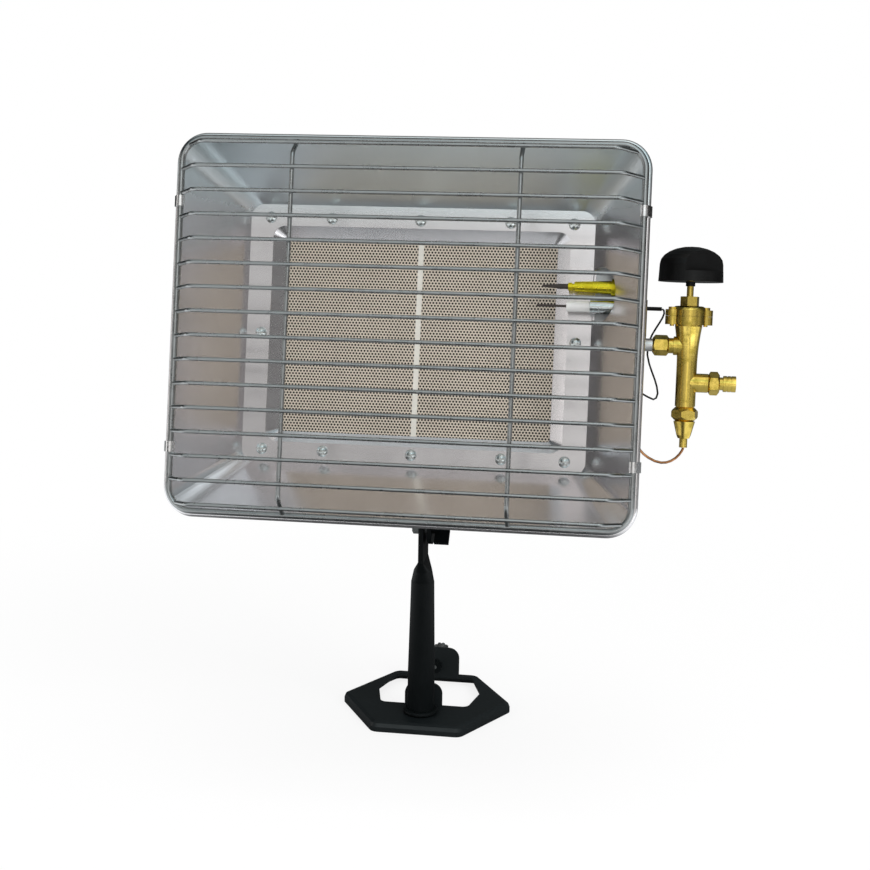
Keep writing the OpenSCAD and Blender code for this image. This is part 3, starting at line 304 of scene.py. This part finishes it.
def makePlaque():
    look = Finish("plaqueClay", plaque["clay"], plaque["roughness"], Specular_IOR_Level=plaque["sheen"])
    spot = look.headPlace()
    across, rise = plaque["pitch"], plaque["pitch"] * math.sqrt(3)
    x, z = look.axis(spot, "X"), look.axis(spot, "Z")

    def away(dx, dz):  # distance to the nearest hole of one of the two grids
        u = (x + dx) % across - across / 2
        v = (z + dz) % rise - rise / 2
        return (u * u + v * v) ** 0.5

    gap = look.maths("MINIMUM", away(0, 0), away(across / 2, rise / 2))
    edge = plaque["radius"] - plaque["blur"], plaque["radius"] + plaque["blur"]
    shadedHole = look.span(gap, *edge, 1.0, 0.0)
    low, high = plaque["tones"]
    cloud = look.noise(spot, *plaque["cloud"])
    clay = look.mix(cloud, shade(plaque["clay"], low), shade(plaque["clay"], high))
    # painted shade: the holes are darkened to the shaded-hole colour
    look.put("Base Color", look.mix(shadedHole, clay, plaque["shadedHole"]))
    scale, height = plaque["grit"]
    look.bump(-shadedHole + look.noise(spot, scale) * height, *plaque["relief"])
    return look.material


fibre = {
    "color": (0.78, 0.755, 0.69), "tones": (0.84, 1.1), "roughness": 0.95, "sheen": 0.15,
    "tuft": (1.4, 4.0, 0.7), "relief": (0.5, 0.4),
}


def makeFibre():
    look = Finish("fibrePacking", fibre["color"], fibre["roughness"], Specular_IOR_Level=fibre["sheen"])
    tuft = look.noise(look.place(), *fibre["tuft"])
    look.tones(tuft, fibre["color"], *fibre["tones"])
    look.bump(tuft, *fibre["relief"])
    return look.material


blackPaint = {
    "blackPaint": {"level": 1.0, "sheen": 0.12},  # level lightens the colour
    # painted light: the foot's level of 2.2 makes a lit copy of the same black paint
    "litFootPaint": {"level": 2.2, "sheen": 0.4},
    "color": (0.0035, 0.0048, 0.0052), "tones": (0.8, 1.35), "roughness": (0.36, 0.5),
    "dust": (0.05, 4.0, 0.65), "dustRange": (0.3, 0.75), "peel": (1.1, 0.14, 0.12),
}


def makeBlackPaint(name):
    kind = blackPaint[name]
    # a level above 1 paints light into the colour
    color = shade(blackPaint["color"], kind["level"])
    look = Finish(name, color, blackPaint["roughness"][0], Specular_IOR_Level=kind["sheen"])
    spot = look.place()
    dust = look.noise(spot, *blackPaint["dust"])
    look.tones(dust, color, *blackPaint["tones"])
    look.put("Roughness", look.span(dust, *blackPaint["dustRange"], *blackPaint["roughness"]))
    look.skin(spot, *blackPaint["peel"])
    return look.material


brass = {
    "machinedBrass": {"color": (0.84, 0.62, 0.14), "dull": (0.5, 0.37, 0.06), "roughness": 0.2},
    "brightBrass": {"color": (0.92, 0.76, 0.04), "dull": (0.7, 0.55, 0.02), "roughness": 0.26},
    "tarnish": (0.16, 4.0, 0.6),
    "tarnishRange": (0.42, 0.72),
    "tarnished": 0.14,  # roughness that tarnish adds
    "turning": (0.05, 0.05, 6.0),  # stretches a noise into the marks of the lathe
    "relief": (0.06, 0.1),
}


def makeBrass(name):
    kind = brass[name]
    look = Finish(name, kind["color"], kind["roughness"], 1.0)
    spot = look.place()
    tarnish = look.span(look.noise(spot, *brass["tarnish"]), *brass["tarnishRange"])
    look.put("Base Color", look.mix(tarnish, kind["color"], kind["dull"]))
    look.put("Roughness", kind["roughness"] + tarnish * brass["tarnished"])
    look.bump(look.noise(look.stretched(spot, brass["turning"]), 1.0), *brass["relief"])
    return look.material


copper = {
    "color": (0.56, 0.25, 0.105), "tones": (1.0, 0.55), "roughness": 0.26,
    "stain": (0.09, 3.0, 0.6), "stainRange": (0.35, 0.65),
    "stained": 0.2,  # roughness that a stain adds
    "skin": (0.7, 0.1, 0.15),
}


def makeCopper():
    look = Finish("copperLead", copper["color"], copper["roughness"], 1.0)
    spot = look.place()
    stain = look.span(look.noise(spot, *copper["stain"]), *copper["stainRange"])
    look.tones(stain, copper["color"], *copper["tones"])
    look.put("Roughness", copper["roughness"] + stain * copper["stained"])
    look.skin(spot, *copper["skin"])
    return look.material


darkAlloy = {
    "color": (0.045, 0.038, 0.035), "ash": (0.12, 0.1, 0.09), "roughness": (0.38, 0.62),
    "bare": 0.6,  # the shade of the colour between the ashy spots
    "metallic": 0.6, "burn": (0.25, 4.0, 0.65), "relief": (0.2, 0.2),
}


def makeDarkAlloy():
    look = Finish("darkAlloy", darkAlloy["color"], darkAlloy["roughness"][0], darkAlloy["metallic"])
    burnt = look.noise(look.place(), *darkAlloy["burn"])
    bare = shade(darkAlloy["color"], darkAlloy["bare"])
    look.put("Base Color", look.mix(burnt, bare, darkAlloy["ash"]))
    look.patches(burnt, *darkAlloy["roughness"])
    look.bump(burnt, *darkAlloy["relief"])
    return look.material


glazed = {
    "color": (0.86, 0.86, 0.84), "tones": (0.93, 1.05), "roughness": 0.18, "coat": 0.3,
    "cloud": (0.3, 3.0), "skin": (0.4, 0.05, 0.1),
}


def makeGlazed():
    look = Finish("glazedClay", glazed["color"], glazed["roughness"], Coat_Weight=glazed["coat"])
    spot = look.place()
    look.tones(look.noise(spot, *glazed["cloud"]), glazed["color"], *glazed["tones"])
    look.skin(spot, *glazed["skin"])
    return look.material


finishes = {
    "stainless_mirror": makeStainless(),
    "guard_wire": makeClouded("guardWire", guardWire),
    "zinc_plate": makeClouded("zincPlate", zinc),
    "galvanised_sheet": makeGalvanised(),
    "plaque_ceramic": makePlaque(),
    "fibre_packing": makeFibre(),
    "black_paint": makeBlackPaint("blackPaint"),
    "brass": makeBrass("machinedBrass"),
    "bright_brass": makeBrass("brightBrass"),
    "copper": makeCopper(),
    "aluminium_pipe": makeClouded("pipeAlloy", pipeAlloy),
    "dark_alloy": makeDarkAlloy(),
    "white_ceramic": makeGlazed(),
    "black_plastic": makePlastic("blackPlastic", blackPlastic),
    "red_plastic": makePlastic("redPlastic", redPlastic),
    "black_rubber": makePlastic("blackRubber", blackRubber),
}
ownFinishes = {  # pieces whose finish differs from the rest of their material
    "guard_clips": makeClipSteel(),
    # the foot takes the lit copy of the black paint, painted light
    "base_plate": makeBlackPaint("litFootPaint"),
}

for part in frame["record"]["subparts"]:
    name = part["node"]
    materials = nodes[name].data.materials
    materials.clear()
    materials.append(ownFinishes.get(name, finishes[part["material_slot"]]))
print("finishes set:", len(finishes) + len(ownFinishes))


softEdges = {  # bevels on the carried-over nodes
    "segments": 2,
    "sharp": math.radians(35),  # edges that turn more than this are softened
    "widths": {  # in millimetres
        "base_plate": 0.5, "tilt_bracket": 0.4, "wing_nut": 0.8, "control_knob": 0.7,
        "outlet_nut": 0.35, "packing_nut": 0.35, "magnet_cap": 0.35, "hose_tail": 0.3,
        "valve_body": 0.3, "valve_bonnet": 0.4, "injector_holder": 0.4, "injector_nut": 0.4,
        "thermocouple_holder": 0.3, "thermocouple_nut": 0.3, "electrode_holder": 0.3,
        "electrode_ceramic": 0.3, "lead_nut": 0.3, "lead_bracket": 0.25, "probe_bracket": 0.25,
        "igniter_bracket": 0.25, "piezo_body": 0.4, "piezo_nut": 0.4, "piezo_button": 0.5,
        "clamp_nut": 0.4, "clamp_pad": 0.4, "clamp_screw": 0.4, "tilt_bolt": 0.4,
        "bracket_bolts": 0.4, "bonnet_screws": 0.2, "guard_clips": 0.2,
    },
}


def soften(name, width):
    bevel = nodes[name].modifiers.new("softEdge", "BEVEL")
    bevel.width = width * mm
    bevel.segments = softEdges["segments"]
    bevel.limit_method = "ANGLE"
    bevel.angle_limit = softEdges["sharp"]
    bevel.harden_normals = False
    bevel.use_clamp_overlap = True


for name, width in softEdges["widths"].items():
    soften(name, width)
print("edges softened:", len(softEdges["widths"]))


studio = {
    "worldFill": 0.55,
    # what bare metal mirrors, as levels by direction: X from left to right, Y from before the
    # heater to behind it, Z from below to above with the horizon at 0
    "mirroredX": [(-1.0, 1.9), (-0.95, 1.65), (-0.91, 0.12), (-0.88, 0.03), (-0.7, 0.03), (-0.64, 0.25),
                  (-0.5, 0.42), (-0.36, 0.5), (-0.26, 0.69), (-0.12, 0.52), (-0.04, 0.88), (0.12, 1.35),
                  (0.3, 0.85), (0.39, 0.62), (0.6, 0.6), (0.84, 0.13), (0.9, 0.4), (1.0, 0.3)],
    "mirroredY": [(-1.0, 1.0), (-0.22, 1.0), (-0.02, 0.45), (0.2, 0.25), (0.5, 0.12), (1.0, 0.06)],
    "mirroredZ": [(0.0, 0.9), (0.09, 1.05), (0.14, 0.72), (0.18, 0.62), (0.23, 1.0), (0.33, 0.86),
                  (0.38, 1.9), (0.42, 1.9), (0.52, 1.3), (0.67, 1.1), (0.8, 1.4), (0.92, 1.1), (1.0, 1.1)],
    # its tint from straight down (0) to straight up (1)
    "mirroredTint": [(0.0, (0.9, 1.0, 1.02)), (0.5, (1.0, 0.99, 0.97)), (0.69, (1.0, 0.99, 0.97)),
                     (0.74, (0.82, 1.0, 1.05)), (0.88, (0.82, 1.0, 1.05)), (0.93, (1.0, 0.98, 0.95)),
                     (1.0, (1.0, 0.98, 0.95))],
    "lampAim": (0, -0.03, 0.2),
    "key": {"at": (1.3, -1.2, 1.2), "size": 0.9, "power": 22},
    "side": {"at": (-1.3, -1.0, 0.8), "size": 1.0, "power": 4},
    "top": {"at": (0.1, -0.2, 1.9), "size": 1.4, "power": 12},
}

floorPaper = {
    "reach": 3.0,  # from the middle to each side, in metres
    "color": (0.93, 0.93, 0.93),
    "roughness": 0.9,
    # the shadow shows near the foot and fades out to white, distances in millimetres
    "shadowFade": (120, 700),
    "cover": 0.82,  # how much of the shadow the white hides at the foot
    # what metal mirrors of the floor: levels by X in metres
    "tint": (0.96, 1.0, 1.02),
    "near": [(-1.0, 1.3), (-0.3, 1.2), (-0.22, 0.3), (-0.15, 0.1), (0.1, 0.08), (0.18, 0.3), (0.25, 0.8),
             (0.32, 1.15), (0.6, 1.1), (1.4, 1.15), (1.9, 0.9), (3.0, 0.8)],
    # behind the heater that level falls to a share of itself
    "behind": 0.2,
    "behindY": (100, 500),
    # and a patch to the front and right gains
    "gleam": 1.7,
    "gleamX": (450, 900),
    "gleamY": (-700, -1000),
    # far before the heater the levels go by bearing, which is X over the distance
    "far": [(-1.0, 1.2), (0.05, 1.6), (0.19, 2.2), (0.26, 0.5), (0.31, 0.06), (0.43, 0.06), (0.5, 2.0),
            (0.85, 2.8), (1.0, 1.0)],
    "farY": (-1430, -1530),
}


def graded(web, stops, value, reach=1.0):  # level read off the stops, which run from -reach to reach
    most = max(level for place, level in stops)
    half = 0.5 / reach
    shares = [(place * half + 0.5, level / most) for place, level in stops]
    return web.ramp(value * half + 0.5, shares) * most


def makeFloor():
    paper = floorPaper
    bpy.ops.mesh.primitive_plane_add(size=2 * paper["reach"], location=(0, 0, 0))
    floor = bpy.context.object
    floor.name = "floor"
    look = Finish("floorPaper", paper["color"], paper["roughness"], Specular_IOR_Level=0.0)
    spot = look.place()
    x, y = look.axis(spot, "X"), look.axis(spot, "Y")
    level = graded(look, paper["near"], x * mm, paper["reach"])
    level = level * look.span(y, *paper["behindY"], 1.0, paper["behind"])
    level = level * (1 + look.span(x, *paper["gleamX"]) * look.span(y, *paper["gleamY"]) * paper["gleam"])
    level = level + look.span(y, *paper["farY"]) * (graded(look, paper["far"], x / -y) - level)
    mirrored = look.add("ShaderNodeEmission", {}, {"Color": paper["tint"], "Strength": level})
    white = look.add("ShaderNodeEmission", {}, {"Color": (1, 1, 1), "Strength": 1.0})
    away = look.add("ShaderNodeVectorMath", {"operation": "LENGTH"}, {0: spot}, output=1)
    cover = look.ray("Camera") * look.span(away, *paper["shadowFade"], paper["cover"], 1.0)
    plain = Wire(look, look.shader.outputs[0])
    both = look.add("ShaderNodeMixShader", {}, {0: cover, 1: plain, 2: white})
    both = look.add("ShaderNodeMixShader", {}, {0: look.ray("Glossy"), 1: both, 2: mirrored})
    look.tree.links.new(both.socket, look.tree.nodes["Material Output"].inputs[0])
    floor.data.materials.append(look.material)


def makeWorld():
    world = bpy.data.worlds.new("studioAir")
    bpy.context.scene.world = world
    world.use_nodes = True
    world.node_tree.nodes.clear()
    air = Web(world.node_tree)
    clear = air.maths("MAXIMUM", air.ray("Camera"), air.ray("Transmission"))
    glossy = air.ray("Glossy")
    way = air.add("ShaderNodeTexCoord")
    mirrored = 1.0
    for letter in "XYZ":
        mirrored = graded(air, studio["mirrored" + letter], air.axis(way, letter)) * mirrored
    level = studio["worldFill"] + clear * (1 - studio["worldFill"])
    level = level + glossy * (mirrored - level)
    tint = air.ramp(air.axis(way, "Z") * 0.5 + 0.5, studio["mirroredTint"])
    sky = air.add("ShaderNodeBackground", {}, {"Color": air.mix(glossy, (1, 1, 1), tint), "Strength": level})
    air.add("ShaderNodeOutputWorld", {}, {"Surface": sky}, output=None)


def makeLamp(name):
    setup = studio[name]
    lamp = bpy.data.lights.new(name + "Lamp", "AREA")
    lamp.shape = "SQUARE"
    lamp.size = setup["size"]
    lamp.energy = setup["power"]
    holder = bpy.data.objects.new(name + "Lamp", lamp)
    bpy.context.scene.collection.objects.link(holder)
    holder.location = setup["at"]
    aim = Vector(studio["lampAim"]) - holder.location
    holder.rotation_euler = aim.to_track_quat("-Z", "Y").to_euler()
    holder.visible_glossy = False


eye = {
    "at": (0.1362, -0.9458, 0.3940),
    "azimuth": math.radians(7.79),
    "elevation": math.radians(11.04),
    "roll": math.radians(1.01),
    "focus": 1425.1,  # focal length in pixels of the frame
    "frame": 870,
    "sensor": 36,
    "clip": (0.05, 50),
}


def makeCamera():
    az, el, roll = eye["azimuth"], eye["elevation"], eye["roll"]
    ahead = Vector((-math.sin(az) * math.cos(el), math.cos(az) * math.cos(el), -math.sin(el)))
    right = Vector((math.cos(az), math.sin(az), 0))
    up = right.cross(ahead)
    across = right * math.cos(roll) + up * math.sin(roll)
    above = up * math.cos(roll) - right * math.sin(roll)
    lens = bpy.data.cameras.new("camera")
    lens.sensor_width = eye["sensor"]
    lens.lens = eye["sensor"] * eye["focus"] / eye["frame"]
    lens.clip_start, lens.clip_end = eye["clip"]
    holder = bpy.data.objects.new("camera", lens)
    bpy.context.scene.collection.objects.link(holder)
    place = Matrix((across, above, -ahead)).transposed().to_4x4()
    place.translation = Vector(eye["at"])
    holder.matrix_world = place
    bpy.context.scene.camera = holder


makeFloor()
makeWorld()
for name in ("key", "side", "top"):
    makeLamp(name)
makeCamera()
bpy.context.scene.view_settings.view_transform = "Standard"
print("studio set")
